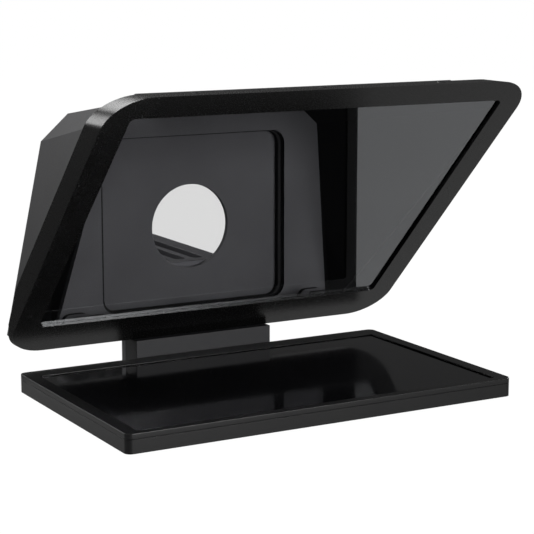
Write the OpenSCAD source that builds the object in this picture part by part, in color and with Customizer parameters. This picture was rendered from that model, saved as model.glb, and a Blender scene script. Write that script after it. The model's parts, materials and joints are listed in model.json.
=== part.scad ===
// Desktop teleprompter: a flat display tray, a 45 degree beam-splitter glass in a skirted frame,
// a faceted light hood behind it with a lift-out lens plate, and a camera shelf on a slotted leg.
// Origin: centre of the tray's bottom face. +Z up, +Y from the reader towards the camera.

/* [Display tray] */
// Width of the display tray
tray_w = 225; // [210:1:270]
// Depth of the display tray, reader side to camera side
tray_d = 138; // [128:1:170]
// Thickness of the display tray
tray_t = 10; // [9:0.5:14]
// Radius of the tray's corners in plan
tray_r = 3.5; // [2:0.5:8]
// Height of the bezel ring above the seam
bezel_t = 3; // [2.5:0.5:4]
// Width of the bezel at the left and right
bezel_side = 7.5; // [6:0.5:12]
// Width of the bezel at the reader's edge
bezel_front = 5; // [4:0.5:12]
// Width of the bezel along the back edge
bezel_back = 11.5; // [10:0.5:20]
// Wall and floor thickness of the lower housing
tray_wall = 2; // [1.5:0.25:2.5]
// Depth of the screen's surface under the bezel's top
screen_drop = 0.8; // [0.4:0.1:1.2]

/* [Glass frame] */
// Width of the frame that holds the glass
frame_w = 238; // [220:1:290]
// Length of the frame up its slope
frame_l = 209.5; // [190:0.5:240]
// Corner radius of the frame
frame_r = 22; // [12:1:30]
// Thickness of the frame's plate, square to the glass
frame_t = 4; // [3.5:0.25:5]
// Width of the frame's side bars
frame_side = 13.5; // [10:0.5:18]
// Width of the frame's top bar
frame_top = 15; // [10:0.5:20]
// Width of the frame's bottom bar
frame_bottom = 23.5; // [18:0.5:30]
// Depth of the skirt, measured level, front to back
skirt_d = 19; // [14:1:24]
// Wall thickness of the skirt
skirt_wall = 2.4; // [2:0.2:3]
// Gap between the tray's back edge and the frame's lowest edge
frame_setback = 4.8; // [3:0.2:8]
// Height of the frame's lowest edge above the tray
frame_rise = 9.8; // [6:0.2:16]
// Thickness of the beam-splitter glass
glass_t = 1.8; // [1.5:0.1:2]
// Depth of the glass under the frame's face
glass_drop = 1.7; // [1.2:0.1:2]
// Overlap of the frame on the glass edge
glass_lap = 3; // [2:0.5:4]

/* [Hood] */
// Wall thickness of the hood
hood_wall = 2.4; // [2:0.2:3]
// Wall thickness of the inner light baffle
baffle_wall = 1.6; // [1.2:0.1:2]
// Distance from the tray's back edge to the hood's rear face
hood_depth = 14.5; // [12.5:0.5:20]
// From the frame's side in to the rear face's lower corners
rear_low_in = 4; // [1:1:15]
// From the frame's side in to the rear face's side where its top corners are cut
rear_mid_in = 28; // [23:1:33]
// From the frame's side in to the flat along the rear face's top
rear_top_in = 44; // [39:1:49]
// Height of the rear face's cut top corners
rear_cut = 14.3; // [10:0.1:22]
// Drop from the frame's top edge to the rear face's top edge
rear_drop = 21.14; // [16:0.02:26]
// Half width of the opening for the lens plate
mouth_w = 58; // [50:1:62]
// Rise from the hood's lower edge to the opening
mouth_rise = 14; // [14:0.5:18]
// Drop from the rear face's top edge to the opening
mouth_drop = 14.8; // [14.4:0.1:26]
// Corner radius of the opening
mouth_r = 8; // [5:1:12]

/* [Lens plate] */
// Radius of the lens hole
lens_r = 24; // [15:0.25:41]
// Height of the lens centre above the base
lens_z = 79; // [77:0.5:90]
// Thickness of the lens plate
lens_plate_t = 3; // [2:0.25:3.5]
// Height the rear rim stands off the hood's rear face
rim_t = 2.5; // [2:0.25:4]

/* [Neck and camera shelf] */
// Half width of the neck
neck_w = 42.7; // [34:0.1:50]
// Thickness of the guide plate behind the neck
guide_t = 5.4; // [5:0.2:8]
// Width of the camera shelf
shelf_w = 50; // [48:1:64]
// Length of the camera shelf
shelf_l = 140; // [110:1:170]
// Thickness of the shelf's sheet
shelf_t = 3; // [2.5:0.25:4]
// Height of the shelf's top above the base
shelf_z = 58; // [56:0.5:60]
// Width of the shelf's screw slots
slot_w = 6.8; // [6.6:0.1:7.6]
// Distance between neighbouring slots
slot_pitch = 11.2; // [10:0.2:13]
// Radius of the camera screw's quarter-inch thread
stud_r = 3.175; // [3.175:0.005:3.185]
// Radius of the clamp screws
clamp_r = 2.5; // [2:0.1:2.6]
// Radius of the clamp screws' knobs
knob_r = 8; // [6:0.5:9]

/* [Hidden] */
$fn = 64;

// Small shared values
eps = 0.01;           // overcut that keeps cuts clean
gap = 0.1;            // clearance between seated pieces of one body
slide_gap = 0.3;      // clearance between pieces that slide past each other
turn_gap = 0.05;      // radial clearance of a turning screw
black = [0.05, 0.05, 0.055];
plastic = [0.11, 0.11, 0.12];
metal = [0.16, 0.16, 0.17];
steel = [0.55, 0.55, 0.57];

// Tray
tray_back = tray_d / 2;
tray_front = -tray_d / 2;
seam_z = tray_t - bezel_t;
open_w = tray_w - 2 * bezel_side;
open_d = tray_d - bezel_front - bezel_back;
open_y = (bezel_front - bezel_back) / 2;
screen_glass_t = 1;
screen_lap = 1.2;     // how far the screen glass runs under the bezel
screen_z = tray_t - screen_drop - screen_glass_t;
lcd_t = 3.4;
lcd_z = screen_z - gap - lcd_t;
board_t = 1;
board_z = tray_wall + 0.3;
port_w = 9;
port_h = 3.2;
port_l = 8;
port_x = 76;
port_gap = 0.3;
neck_screw_x = 28;    // the neck's screws enter the tray's back wall beside the board
board_x0 = neck_screw_x + 8;
board_x1 = port_x + 20;
board_l = 60;
post_r = 3;
post_x = tray_w / 2 - tray_wall - post_r - 0.4;
post_ys = [tray_front + tray_wall + post_r + 2, 0, tray_back - tray_wall - post_r - 2];
screw_r = 1.25;
screw_head_r = 2.3;
screw_head_t = 1.3;

// Frame: local X across, local Y up the slope, depth behind the face towards the camera
glass_angle = 45;     // a beam splitter has to stand at 45 degrees to the screen
slope = sin(glass_angle);
frame_y = tray_back + frame_setback;
frame_z = tray_t + frame_rise;
frame_sum = frame_y + frame_z;
frame_top_z = frame_z + frame_l * slope;
glass_w = frame_w - 2 * frame_side + 2 * glass_lap;
glass_v0 = frame_bottom - glass_lap;
glass_v1 = frame_l - frame_top + glass_lap;
glass_back = glass_drop + glass_t;
clip_t = 0.8;
clip_w = 10;          // width of a clip along the glass edge
clip_out = 2.2;       // from the glass edge out to the clip's screw
clip_lap = 2;         // how far a clip reaches over the glass
clip_screw_r = 1;
clip_head_r = 1.9;
clip_head_t = 0.5;
clip_screw_in = 1.8;  // how far a clip's screw reaches into the frame
clip_xs = [-70, 0, 70];
clip_vs = [0.3, 0.5, 0.7] * frame_l;
frame_screw_xs = [-70, 0, 70];
frame_screw_r = 1.5;
frame_head_r = 2.8;
frame_head_t = 1.2;   // depth of its counterbore in the skirt
frame_screw_back = 13;    // from the frame's top edge back to its screws
skirt_turn_z = frame_z + 39.2;    // below this height the skirt's rear edge turns in towards the frame
skirt_end_z = frame_z + 18.2;     // and it ends at this height, on the frame's back
skirt_end_y = frame_sum - frame_z - 8.1;

// Hood
rear_y = tray_back + hood_depth;
seat_gap = 0.2;       // clearance between the hood and the frame's back
hood_play = 0.75;     // clearance between the hood's sides and the skirt
body_lean = 8;        // how far the hood's sides lean in at the top of its front
body_cut = 14;        // height of the cut top corners at its front
hood_z = frame_z + seat_gap;
rear_low = frame_w / 2 - rear_low_in;
rear_mid = frame_w / 2 - rear_mid_in;
rear_top = frame_w / 2 - rear_top_in;
rear_top_z = frame_top_z - rear_drop;
rear_mid_z = rear_top_z - rear_cut;
mouth_z0 = hood_z + mouth_rise;
mouth_z1 = rear_top_z - mouth_drop;
body_depth = frame_t + seat_gap;
body_w = frame_w / 2 - skirt_wall - hood_play;
body_top_w = body_w - body_lean;
body_sum = frame_sum + body_depth / slope;
roof_front_drop = 2.46;   // from the frame's top edge down to where the roof meets the hood's slanted front
roof_front_z = frame_top_z - roof_front_drop;
roof_front_y = body_sum - roof_front_z;
roof_pitch = (roof_front_z - rear_top_z) / (rear_y - roof_front_y);   // its fall for each millimetre towards the camera
frame_screw_y = frame_y - frame_l * slope + frame_screw_back;
frame_screw_z = roof_front_z - roof_pitch * (frame_screw_y - roof_front_y) - hood_wall + gap;   // their tips, in the roof
body_v0 = (hood_z - frame_z) / slope - body_depth;
body_v2 = (roof_front_z - frame_z) / slope - body_depth;
body_v1 = body_v2 - body_cut;
roof_angle = atan(roof_pitch);
bar_gap = 0.3;        // between the skirt and the bar that lies across the roof behind it
bar_d = 16;           // depth of that bar
bar_side = 28;        // from the frame's side in to the bar's ends
bar_t = 3.4;
lip_d = 2.5;          // the lip along the bar's rear edge
lip_high = 1.2;
bar_w = frame_w / 2 - bar_side;
bar_y0 = frame_y - frame_l * slope + skirt_d + skirt_wall + bar_gap;
bar_y1 = bar_y0 + bar_d;

// Baffle and lens opening
inner_y = rear_y - hood_wall - gap - baffle_wall;
baffle_set = 1.6;     // from the hood's open edge in to the baffle's
baffle_depth = body_depth + baffle_set;
baffle_w = body_w - hood_wall - baffle_set;
baffle_front_top = body_top_w - 6;    // its front corners stand clear of the hood's
baffle_front_v1 = body_v1 - 5;
baffle_front_v2 = body_v2 - 6;
baffle_low = rear_low - 26.5;         // its back wall is narrower than the hood's, for a straight-sided box
baffle_front_low = baffle_low + 1.5;
baffle_mid = rear_mid - 9.5;
baffle_top = rear_top - 2.2;
baffle_z0 = hood_z + hood_wall + 0.3;
baffle_mid_z = rear_mid_z + 2.5;
baffle_top_z = rear_top_z - hood_wall - 0.6;
bump_x = baffle_low - 13.5;
bump_w = 8.4;
bump_z0 = baffle_z0 + 2;
bump_top = baffle_z0 + 14.3;
bump_r = 5;
bump_t = 3;
mouth_h = mouth_z1 - mouth_z0;
mouth_mid = (mouth_z0 + mouth_z1) / 2;
rim_w = 5.5;
gasket_side = 2.3;    // how far the gasket stands into the opening at its sides
gasket_end = 0.8;     // and at its top and bottom

// Lens plate and its rails
plate_y = rear_y + rim_t + gap;
plate_w = mouth_w + rim_w;
plate_low = 3;        // how far the plate runs below and above the opening
plate_high = 4;
plate_z0 = mouth_z0 - plate_low;
plate_z1 = mouth_z1 + plate_high;
tab_w = 14;
tab_h = 6;
rail_gap = 0.4;
rail_t = 3;
rail_lip = 3;
rail_x = plate_w + rail_gap;
lip_y = plate_y + lens_plate_t + slide_gap;
lip_t = 1.6;
rail_foot = 3;        // height of the rail's foot that the plate stands on
rail_foot_w = 10;
rail_z0 = plate_z0 - rail_foot;
rail_z1 = mouth_z1 + 2;
rail_screw_r = 1;
rail_head_r = 1.45;
rail_head_t = 0.9;
rail_screw_zs = [mouth_z0 + 10, mouth_mid, mouth_z1 - 8];

// Neck, guide and shelf
neck_y = tray_back + gap;
neck_d = rear_y - gap - neck_y;
neck_h = frame_z - gap;
guide_y = rear_y + gap;
guide_back = guide_y + guide_t;
guide_h = rail_z0 - 0.4;
bush_r = 4.5;
bush_h = 8;
bush_y = neck_y + neck_d / 2;
neck_screw_in = 5;    // how far they reach into the tray
neck_screw_z = (seam_z + 1.4) / 2;    // midway up the tray's back wall
neck_screw_r = 2;
neck_head_r = 3.6;
neck_head_t = 2.2;
guide_screw_x = 35;
guide_screw_zs = [6, (hood_z + guide_h) / 2];
guide_screw_in = 8.5; // how far the lower pair reaches into the neck
leg_y = guide_back + slide_gap;
leg_back = leg_y + shelf_t;
leg_z0 = 3;
leg_travel = 30;
clamp_x = 14;
clamp_z = 14;
clamp_play = 0.3;
washer_t = 1;
washer_r = 5.5;
clamp_in = 4.5;       // how far a clamp screw reaches into the guide
knob_l = 9.5;
knob_ribs = 18;
slot_start = 8.3;     // from the leg's front to the slots
slot_end = 10;        // from the slots to the shelf's free end
slot_y0 = leg_y + slot_start;
slot_y1 = leg_y + shelf_l - slot_end;
cam_y = leg_y + 81.7; // the camera screw's place in its slot as stored
cam_washer_r = 6.6;
cam_knob_r = 9.5;
cam_knob_h = 7;
stud_up = 5.5;
shank_r = 2.7;        // the captive screw is thinner below its thread

// ---- helpers ----

module rounded(w, h, r) {
    translate([-w / 2 + r, -h / 2]) square([w - 2 * r, h]);
    translate([-w / 2, -h / 2 + r]) square([w, h - 2 * r]);
    for (sx = [-1, 1], sy = [-1, 1])
        translate([sx * (w / 2 - r), sy * (h / 2 - r)]) circle(r);
}

// A flat outline in X and Z, made solid from y0 to y1
module wall_xz(y0, y1) {
    translate([0, y1, 0]) rotate([90, 0, 0]) linear_extrude(y1 - y0) children();
}

// A flat outline in Y and Z, made solid from x0 to x1
module wall_yz(x0, x1) {
    translate([x0, 0, 0]) rotate([90, 0, 90]) linear_extrude(x1 - x0) children();
}

// A flat outline on the glass plane, made solid between two depths behind the frame's face
module on_frame(d0, d1) {
    translate([0, frame_y, frame_z]) rotate([180 - glass_angle, 0, 0])
        translate([0, 0, -d1]) linear_extrude(d1 - d0) children();
}

function arc(cx, cz, rx, rz, a0, a1, n = 14) =
    [for (i = [0:n]) let (a = a0 + (a1 - a0) * i / n) [cx + rx * cos(a), cz + rz * sin(a)]];

// The frame's outline seen level from the reader's side: its round corners are flattened by the slope
module skirt_outline(inset) {
    rx = frame_r - inset;
    rz = frame_r * slope - inset;
    cx = frame_w / 2 - frame_r;
    z0 = frame_z + frame_r * slope;
    z1 = frame_top_z - frame_r * slope;
    polygon(concat(arc(cx, z0, rx, rz, -90, 0), arc(cx, z1, rx, rz, 0, 90),
                   arc(-cx, z1, rx, rz, 90, 180), arc(-cx, z0, rx, rz, 180, 270)));
}

module skirt_prism(inset) {
    wall_xz(frame_y - frame_l, rear_y + 5) skirt_outline(inset);
}

// Side view of the skirt: a band behind the glass plane, cut back near its foot
module skirt_band() {
    wall_yz(-frame_w / 2 - 1, frame_w / 2 + 1)
        polygon([[skirt_end_y, frame_sum - skirt_end_y],
                 [skirt_end_y, skirt_end_z],
                 [frame_sum + skirt_d - skirt_turn_z, skirt_turn_z],
                 [frame_sum + skirt_d - frame_top_z - 2, frame_top_z + 2],
                 [frame_sum - frame_top_z - 2, frame_top_z + 2]]);
}

// Half-symmetric five-sided outline: a trapezoid with its top corners cut
module hood_outline(low, mid, top, z0, z1, z2) {
    polygon([[-low, z0], [low, z0], [mid, z1], [top, z2], [-top, z2], [-mid, z1]]);
}

// The hood's outer form, set in by a wall thickness
module hood_form(inset) {
    hull() {
        on_frame(body_depth - (inset > 0 ? 0.5 : 0), body_depth + 0.02)
            hood_outline(body_w - inset, body_w - inset, body_top_w - inset * 0.8,
                         body_v0 + inset / slope, body_v1 - inset * 0.5, body_v2 - inset / slope);
        wall_xz(rear_y - inset - 0.02, rear_y - inset)
            hood_outline(rear_low - inset, rear_mid - inset, rear_top - inset * 0.6,
                         hood_z + inset, rear_mid_z - inset * 0.5, rear_top_z - inset);
    }
}

module baffle_form(inset) {
    hull() {
        on_frame(baffle_depth - (inset > 0 ? 0.5 : 0), baffle_depth + 0.02)
            hood_outline(baffle_front_low - inset, baffle_w - inset, baffle_front_top - inset,
                         (baffle_z0 + inset - frame_z) / slope - baffle_depth,
                         baffle_front_v1 - inset * 0.5, baffle_front_v2 - inset / slope);
        wall_xz(inner_y + baffle_wall - inset - 0.02, inner_y + baffle_wall - inset)
            hood_outline(baffle_low - inset, baffle_mid - inset, baffle_top - inset,
                         baffle_z0 + inset, baffle_mid_z - inset * 0.5, baffle_top_z - inset);
    }
}

module mouth(grow) {
    translate([0, mouth_mid]) rounded(2 * (mouth_w + grow), mouth_h + 2 * grow, mouth_r + grow);
}

// A round-ended slot along Y, cut from z0 to z1
module slot_y(x, y0, y1, w, z0, z1) {
    translate([x - w / 2, y0 + w / 2, z0]) cube([w, y1 - y0 - w, z1 - z0]);
    for (y = [y0 + w / 2, y1 - w / 2]) translate([x, y, z0]) cylinder(h = z1 - z0, r = w / 2);
}

// A cylinder along +Y from y0 to y1
module rod_y(x, z, y0, y1, r) {
    translate([x, y0, z]) rotate([-90, 0, 0]) cylinder(h = y1 - y0, r = r);
}

module knurl(r, h, ribs) {
    difference() {
        cylinder(h = h, r = r);
        for (i = [0:ribs - 1]) rotate([0, 0, i * 360 / ribs])
            translate([r + 0.35, 0, -eps]) cylinder(h = h + 2 * eps, r = 0.8);
    }
}

// ---- display tray ----

module display_housing() {
    color(plastic) difference() {
        union() {
            difference() {
                linear_extrude(seam_z) rounded(tray_w, tray_d, tray_r);
                translate([0, 0, tray_wall])
                    linear_extrude(tray_t)
                        rounded(tray_w - 2 * tray_wall, tray_d - 2 * tray_wall, tray_r - tray_wall + 0.6);
            }
            for (sx = [-1, 1], y = post_ys) translate([sx * post_x, y, eps])
                cylinder(h = lcd_z - 0.3, r = post_r);
            for (sx = [-1, 1])
                translate([sx * neck_screw_x - 4, tray_back - tray_wall - neck_screw_in, tray_wall - eps])
                    cube([8, neck_screw_in + eps, seam_z - tray_wall - 0.2]);
        }
        for (sx = [-1, 1], y = post_ys) translate([sx * post_x, y, -1]) {
            cylinder(h = lcd_z, r = screw_r);
            cylinder(h = 1 + screw_head_t + 0.2, r = screw_head_r);
        }
        for (sx = [-1, 1])
            rod_y(sx * neck_screw_x, neck_screw_z, tray_back - tray_wall - neck_screw_in - 1,
                  tray_back + 1, neck_screw_r);
        translate([port_x - port_w / 2 - port_gap, tray_back - tray_wall - 1, board_z + board_t - 0.2])
            cube([port_w + 2 * port_gap, tray_wall + 2, port_h + port_gap + 0.2]);
    }
}

module display_bezel() {
    color(plastic) difference() {
        translate([0, 0, seam_z]) linear_extrude(bezel_t) rounded(tray_w, tray_d, tray_r);
        translate([0, open_y, seam_z - 1]) linear_extrude(bezel_t + 2) rounded(open_w, open_d, 1.5);
        translate([0, open_y, seam_z - 1])
            linear_extrude(screen_z + screen_glass_t + gap - seam_z + 1)
                rounded(open_w + 2 * screen_lap + 0.4, open_d + 2 * screen_lap + 0.4, 2);
    }
}

module screen_glass() {
    color(black) translate([0, open_y, screen_z])
        linear_extrude(screen_glass_t) rounded(open_w + 2 * screen_lap, open_d + 2 * screen_lap, 1.8);
}

module lcd_panel() {
    color([0.03, 0.03, 0.04]) translate([-open_w / 2, open_y - open_d / 2, lcd_z])
        cube([open_w, open_d, lcd_t]);
}

module display_board() {
    color([0.05, 0.2, 0.12])
        translate([board_x0, tray_back - tray_wall - 0.5 - board_l, board_z])
            cube([board_x1 - board_x0, board_l, board_t]);
}

module usb_c_port() {
    color(steel) translate([port_x, tray_back - port_l, board_z + board_t])
        difference() {
            translate([0, port_l, port_h / 2]) rotate([90, 0, 0])
                linear_extrude(port_l) rounded(port_w, port_h, port_h / 2 - 0.01);
            translate([0, port_l + 1, port_h / 2]) rotate([90, 0, 0])
                linear_extrude(port_l - 1) rounded(port_w - 0.7, port_h - 0.7, port_h / 2 - 0.36);
        }
}

module housing_screws() {
    color(steel) for (sx = [-1, 1], y = post_ys) translate([sx * post_x, y, 0.2]) {
        cylinder(h = lcd_z - 1.8, r = screw_r);
        cylinder(h = screw_head_t, r = screw_head_r - gap);
    }
}

// ---- neck ----

module neck_block() {
    color(plastic) difference() {
        translate([-neck_w, neck_y, 0]) cube([2 * neck_w, neck_d, neck_h]);
        translate([0, bush_y, -1]) cylinder(h = bush_h + 1, r = bush_r);
        for (sx = [-1, 1]) {
            rod_y(sx * neck_screw_x, neck_screw_z, neck_y - 1, rear_y + 1, neck_screw_r);
            rod_y(sx * neck_screw_x, neck_screw_z, rear_y - gap - neck_head_t, rear_y + 1, neck_head_r);
            rod_y(sx * guide_screw_x, guide_screw_zs[0], rear_y - guide_screw_in - 0.5, rear_y + 1,
                  neck_screw_r);
        }
    }
}

module tripod_bush() {
    color([0.7, 0.6, 0.35]) translate([0, bush_y, 0]) difference() {
        cylinder(h = bush_h, r = bush_r);
        translate([0, 0, -eps]) cylinder(h = bush_h + 2 * eps, r = stud_r);
    }
}

module neck_screws() {
    color(steel) for (sx = [-1, 1]) {
        rod_y(sx * neck_screw_x, neck_screw_z, tray_back - tray_wall - neck_screw_in,
              rear_y - gap - neck_head_t + eps, neck_screw_r);
        rod_y(sx * neck_screw_x, neck_screw_z, rear_y - gap - neck_head_t, rear_y - 2 * gap,
              neck_head_r - gap);
    }
}

module rear_guide() {
    color(metal) difference() {
        translate([-neck_w, guide_y, 0]) cube([2 * neck_w, guide_t, guide_h]);
        for (sx = [-1, 1]) {
            rod_y(sx * clamp_x, clamp_z, guide_y - 1, guide_back + 1, clamp_r + turn_gap);
            for (z = guide_screw_zs) {
                rod_y(sx * guide_screw_x, z, guide_y - 1, guide_back + 1, neck_screw_r);
                rod_y(sx * guide_screw_x, z, guide_back - neck_head_t, guide_back + 1, neck_head_r);
            }
        }
    }
}

module guide_screws() {
    color(steel) for (sx = [-1, 1], i = [0, 1]) {
        rod_y(sx * guide_screw_x, guide_screw_zs[i], rear_y - (i == 0 ? guide_screw_in : hood_wall - gap),
              guide_back - neck_head_t + eps, neck_screw_r);
        rod_y(sx * guide_screw_x, guide_screw_zs[i], guide_back - neck_head_t, guide_back - gap,
              neck_head_r - gap);
    }
}

// ---- glass frame ----

module frame_opening(grow) {
    translate([0, (frame_bottom + frame_l - frame_top) / 2])
        rounded(frame_w - 2 * frame_side + 2 * grow, frame_l - frame_top - frame_bottom + 2 * grow,
                3 + grow / 3);
}

module frame_screw_at() {
    for (x = frame_screw_xs)
        translate([x, frame_screw_y, frame_top_z]) children();
}

// The clips' places: along the bottom edge of the glass and up both sides, each turned to face it
module clip_at() {
    for (x = clip_xs) translate([x, glass_v0 - clip_out]) children();
    for (sx = [-1, 1], v = clip_vs)
        translate([sx * (glass_w / 2 + clip_out), v]) rotate(sx * 90) children();
}

module glass_frame() {
    color(black) difference() {
        intersection() {
            skirt_prism(0);
            union() {
                on_frame(0, frame_t)
                    translate([-frame_w / 2 - 1, -20]) square([frame_w + 2, frame_l + 40]);
                difference() {
                    skirt_band();
                    skirt_prism(skirt_wall);
                }
            }
        }
        on_frame(-1, frame_t + 1) frame_opening(0);
        on_frame(glass_drop, frame_t + 1) frame_opening(glass_lap + gap);
        on_frame(frame_t - clip_screw_in - 0.2, frame_t + 1) clip_at() circle(clip_screw_r);
        frame_screw_at() {
            translate([0, 0, -skirt_wall - 1]) cylinder(h = skirt_wall + 2, r = frame_screw_r);
            translate([0, 0, -frame_head_t]) cylinder(h = frame_head_t + 1, r = frame_head_r + gap);
        }
    }
}

module beam_splitter() {
    color([0.2, 0.22, 0.24, 0.4]) on_frame(glass_drop, glass_back) frame_opening(glass_lap);
}

module glass_clips() {
    color(metal) on_frame(frame_t, frame_t + clip_t) clip_at() difference() {
        translate([-clip_w / 2, -clip_out]) square([clip_w, 2 * clip_out + clip_lap]);
        circle(clip_screw_r);
    }
}

module clip_screws() {
    color(steel) {
        on_frame(frame_t - clip_screw_in, frame_t + clip_t + eps) clip_at() circle(clip_screw_r);
        on_frame(frame_t + clip_t, frame_t + clip_t + clip_head_t) clip_at() circle(clip_head_r);
    }
}

module frame_screws() {
    color(steel) frame_screw_at() {
        translate([0, 0, frame_screw_z - frame_top_z])
            cylinder(h = frame_top_z - frame_screw_z - frame_head_t + eps, r = frame_screw_r);
        translate([0, 0, -frame_head_t]) cylinder(h = frame_head_t - gap, r = frame_head_r);
    }
}

// ---- hood ----

module hood_shell() {
    color(plastic) difference() {
        union() {
            intersection() {
                hood_form(0);
                skirt_prism(skirt_wall + gap);
            }
            wall_xz(rear_y - eps, rear_y + rim_t) mouth(rim_w - 0.3);
        }
        difference() {
            hood_form(hood_wall);
            translate([-200, rear_y - hood_wall, 0]) cube([400, 50, 200]);
        }
        wall_xz(rear_y - hood_wall - 1, rear_y + rim_t + 1) mouth(0);
        frame_screw_at() translate([0, 0, -20]) cylinder(h = 40, r = frame_screw_r);
        for (sx = [-1, 1]) {
            rod_y(sx * guide_screw_x, guide_screw_zs[1], rear_y - hood_wall - 1, rear_y + 1, neck_screw_r);
            for (z = rail_screw_zs)
                rod_y(sx * (rail_x + rail_t / 2), z, rear_y - hood_wall - 1, rear_y + 1, rail_screw_r);
        }
    }
}

// A strip that lies across the roof
module roof_strip(y0, y1, lift, t) {
    translate([0, rear_y, rear_top_z]) rotate([-roof_angle, 0, 0])
        translate([-bar_w, (y0 - rear_y) / cos(roof_angle), lift]) cube([2 * bar_w, y1 - y0, t]);
}

module roof_bar() {
    color(black) roof_strip(bar_y0, bar_y1, gap, bar_t);
}

module roof_lip() {
    color(plastic) roof_strip(bar_y1 - lip_d, bar_y1, gap + bar_t, lip_high);
}

module light_baffle() {
    color(black) difference() {
        union() {
            difference() {
                baffle_form(0);
                baffle_form(baffle_wall);
            }
            for (sx = [-1, 1])
                wall_xz(inner_y - bump_t, inner_y + eps)
                    translate([sx * bump_x, (bump_z0 + bump_top) / 2])
                        rounded(2 * bump_w, bump_top - bump_z0, bump_r);
        }
        wall_xz(inner_y - 1, rear_y) mouth(0);
    }
}

module lens_gasket() {
    color([0.02, 0.02, 0.02]) wall_xz(inner_y + 3.2, rear_y + rim_t - gap) difference() {
        mouth(-gap);
        translate([0, mouth_mid])
            rounded(2 * (mouth_w - gasket_side), mouth_h - 2 * gasket_end, mouth_r - gasket_end);
    }
}

module plate_rail(side) {
    color(metal) difference() {
        union() {
            translate([side > 0 ? rail_x : -rail_x - rail_t, rear_y + gap, rail_z0])
                cube([rail_t, lip_y + lip_t - rear_y - gap, rail_z1 - rail_z0]);
            translate([side > 0 ? rail_x - rail_lip : -rail_x - eps, lip_y, rail_z0])
                cube([rail_lip + eps, lip_t, rail_z1 - rail_z0]);
            translate([side > 0 ? rail_x - rail_foot_w : -rail_x - eps, plate_y, rail_z0])
                cube([rail_foot_w + eps, lip_y + lip_t - plate_y, rail_foot]);
        }
        for (z = rail_screw_zs)
            rod_y(side * (rail_x + rail_t / 2), z, rear_y - 1, lip_y + lip_t + 1, rail_screw_r);
    }
}

module plate_rail_left() {
    plate_rail(-1);
}

module plate_rail_right() {
    plate_rail(1);
}

module rail_screws() {
    color(steel) for (sx = [-1, 1], z = rail_screw_zs) {
        rod_y(sx * (rail_x + rail_t / 2), z, rear_y - hood_wall + gap, lip_y + lip_t + eps, rail_screw_r);
        rod_y(sx * (rail_x + rail_t / 2), z, lip_y + lip_t, lip_y + lip_t + rail_head_t, rail_head_r);
    }
}

module lens_plate() {
    color(plastic) difference() {
        union() {
            wall_xz(plate_y, plate_y + lens_plate_t)
                translate([0, (plate_z0 + plate_z1) / 2])
                    rounded(2 * plate_w, plate_z1 - plate_z0, 4);
            wall_xz(plate_y, plate_y + lens_plate_t)
                translate([0, plate_z1]) rounded(2 * tab_w, 2 * tab_h, 4);
        }
        rod_y(0, lens_z, plate_y - 1, plate_y + lens_plate_t + 1, lens_r);
    }
}

// ---- camera shelf ----

module camera_shelf() {
    color(metal) difference() {
        union() {
            translate([-shelf_w / 2, leg_y, shelf_z - shelf_t]) cube([shelf_w, shelf_l, shelf_t]);
            translate([-shelf_w / 2, leg_y, leg_z0]) cube([shelf_w, shelf_t, shelf_z - leg_z0 - eps]);
        }
        for (i = [-1:1])
            slot_y(i * slot_pitch, slot_y0, slot_y1, slot_w, shelf_z - shelf_t - 1, shelf_z + 1);
        for (sx = [-1, 1]) {
            w = 2 * (clamp_r + clamp_play);
            translate([sx * clamp_x - w / 2, leg_y - 1, clamp_z]) cube([w, shelf_t + 2, leg_travel]);
            for (z = [clamp_z, clamp_z + leg_travel])
                rod_y(sx * clamp_x, z, leg_y - 1, leg_back + 1, w / 2);
        }
    }
}

module clamp_washers() {
    color(steel) for (sx = [-1, 1]) difference() {
        rod_y(sx * clamp_x, clamp_z, leg_back + gap, leg_back + gap + washer_t, washer_r);
        rod_y(sx * clamp_x, clamp_z, leg_back, leg_back + gap + washer_t + 1, clamp_r + turn_gap);
    }
}

module clamp_screw(side) {
    y0 = leg_back + 2 * gap + washer_t;
    color(black) {
        rod_y(side * clamp_x, clamp_z, guide_back - clamp_in, y0 + 1, clamp_r);
        translate([side * clamp_x, y0, clamp_z]) rotate([-90, 0, 0]) knurl(knob_r, knob_l, knob_ribs);
    }
}

module clamp_screw_left() {
    clamp_screw(-1);
}

module clamp_screw_right() {
    clamp_screw(1);
}

module camera_washer() {
    color(steel) translate([0, cam_y, shelf_z - shelf_t - gap - washer_t]) difference() {
        cylinder(h = washer_t, r = cam_washer_r);
        translate([0, 0, -1]) cylinder(h = washer_t + 2, r = shank_r + turn_gap);
    }
}

module camera_screw() {
    z1 = shelf_z - shelf_t - 2 * gap - washer_t;
    color(steel) translate([0, cam_y, 0]) {
        translate([0, 0, shelf_z]) cylinder(h = stud_up, r = stud_r);
        translate([0, 0, z1 - 1]) cylinder(h = shelf_z - z1 + 1 + eps, r = shank_r);
        difference() {
            translate([0, 0, z1 - cam_knob_h]) knurl(cam_knob_r, cam_knob_h, 24);
            translate([-cam_knob_r, -0.8, z1 - cam_knob_h - eps]) cube([2 * cam_knob_r, 1.6, 1.8]);
        }
    }
}

display_housing();
display_bezel();
screen_glass();
lcd_panel();
display_board();
usb_c_port();
housing_screws();
neck_block();
tripod_bush();
neck_screws();
rear_guide();
guide_screws();
glass_frame();
beam_splitter();
glass_clips();
clip_screws();
frame_screws();
hood_shell();
roof_bar();
roof_lip();
light_baffle();
lens_gasket();
plate_rail_left();
plate_rail_right();
rail_screws();
lens_plate();
camera_shelf();
clamp_washers();
clamp_screw_left();
clamp_screw_right();
camera_washer();
camera_screw();
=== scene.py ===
# %% [markdown]
# A desktop teleprompter. A flat display lies in a tray. A sheet of part-mirrored glass stands over it
# at 45 degrees, so that the reader sees the words while the camera looks through the glass from a dark
# hood behind. The engineering model is loaded first as a fixed frame: its pieces never move or change
# here. Each visible one is either given a finish or replaced by a copy with moulded edges.

# %% Load the engineering model
import json
from math import cos, pi, radians, sin

import bmesh
import bpy
from mathutils import Matrix, Vector


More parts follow.
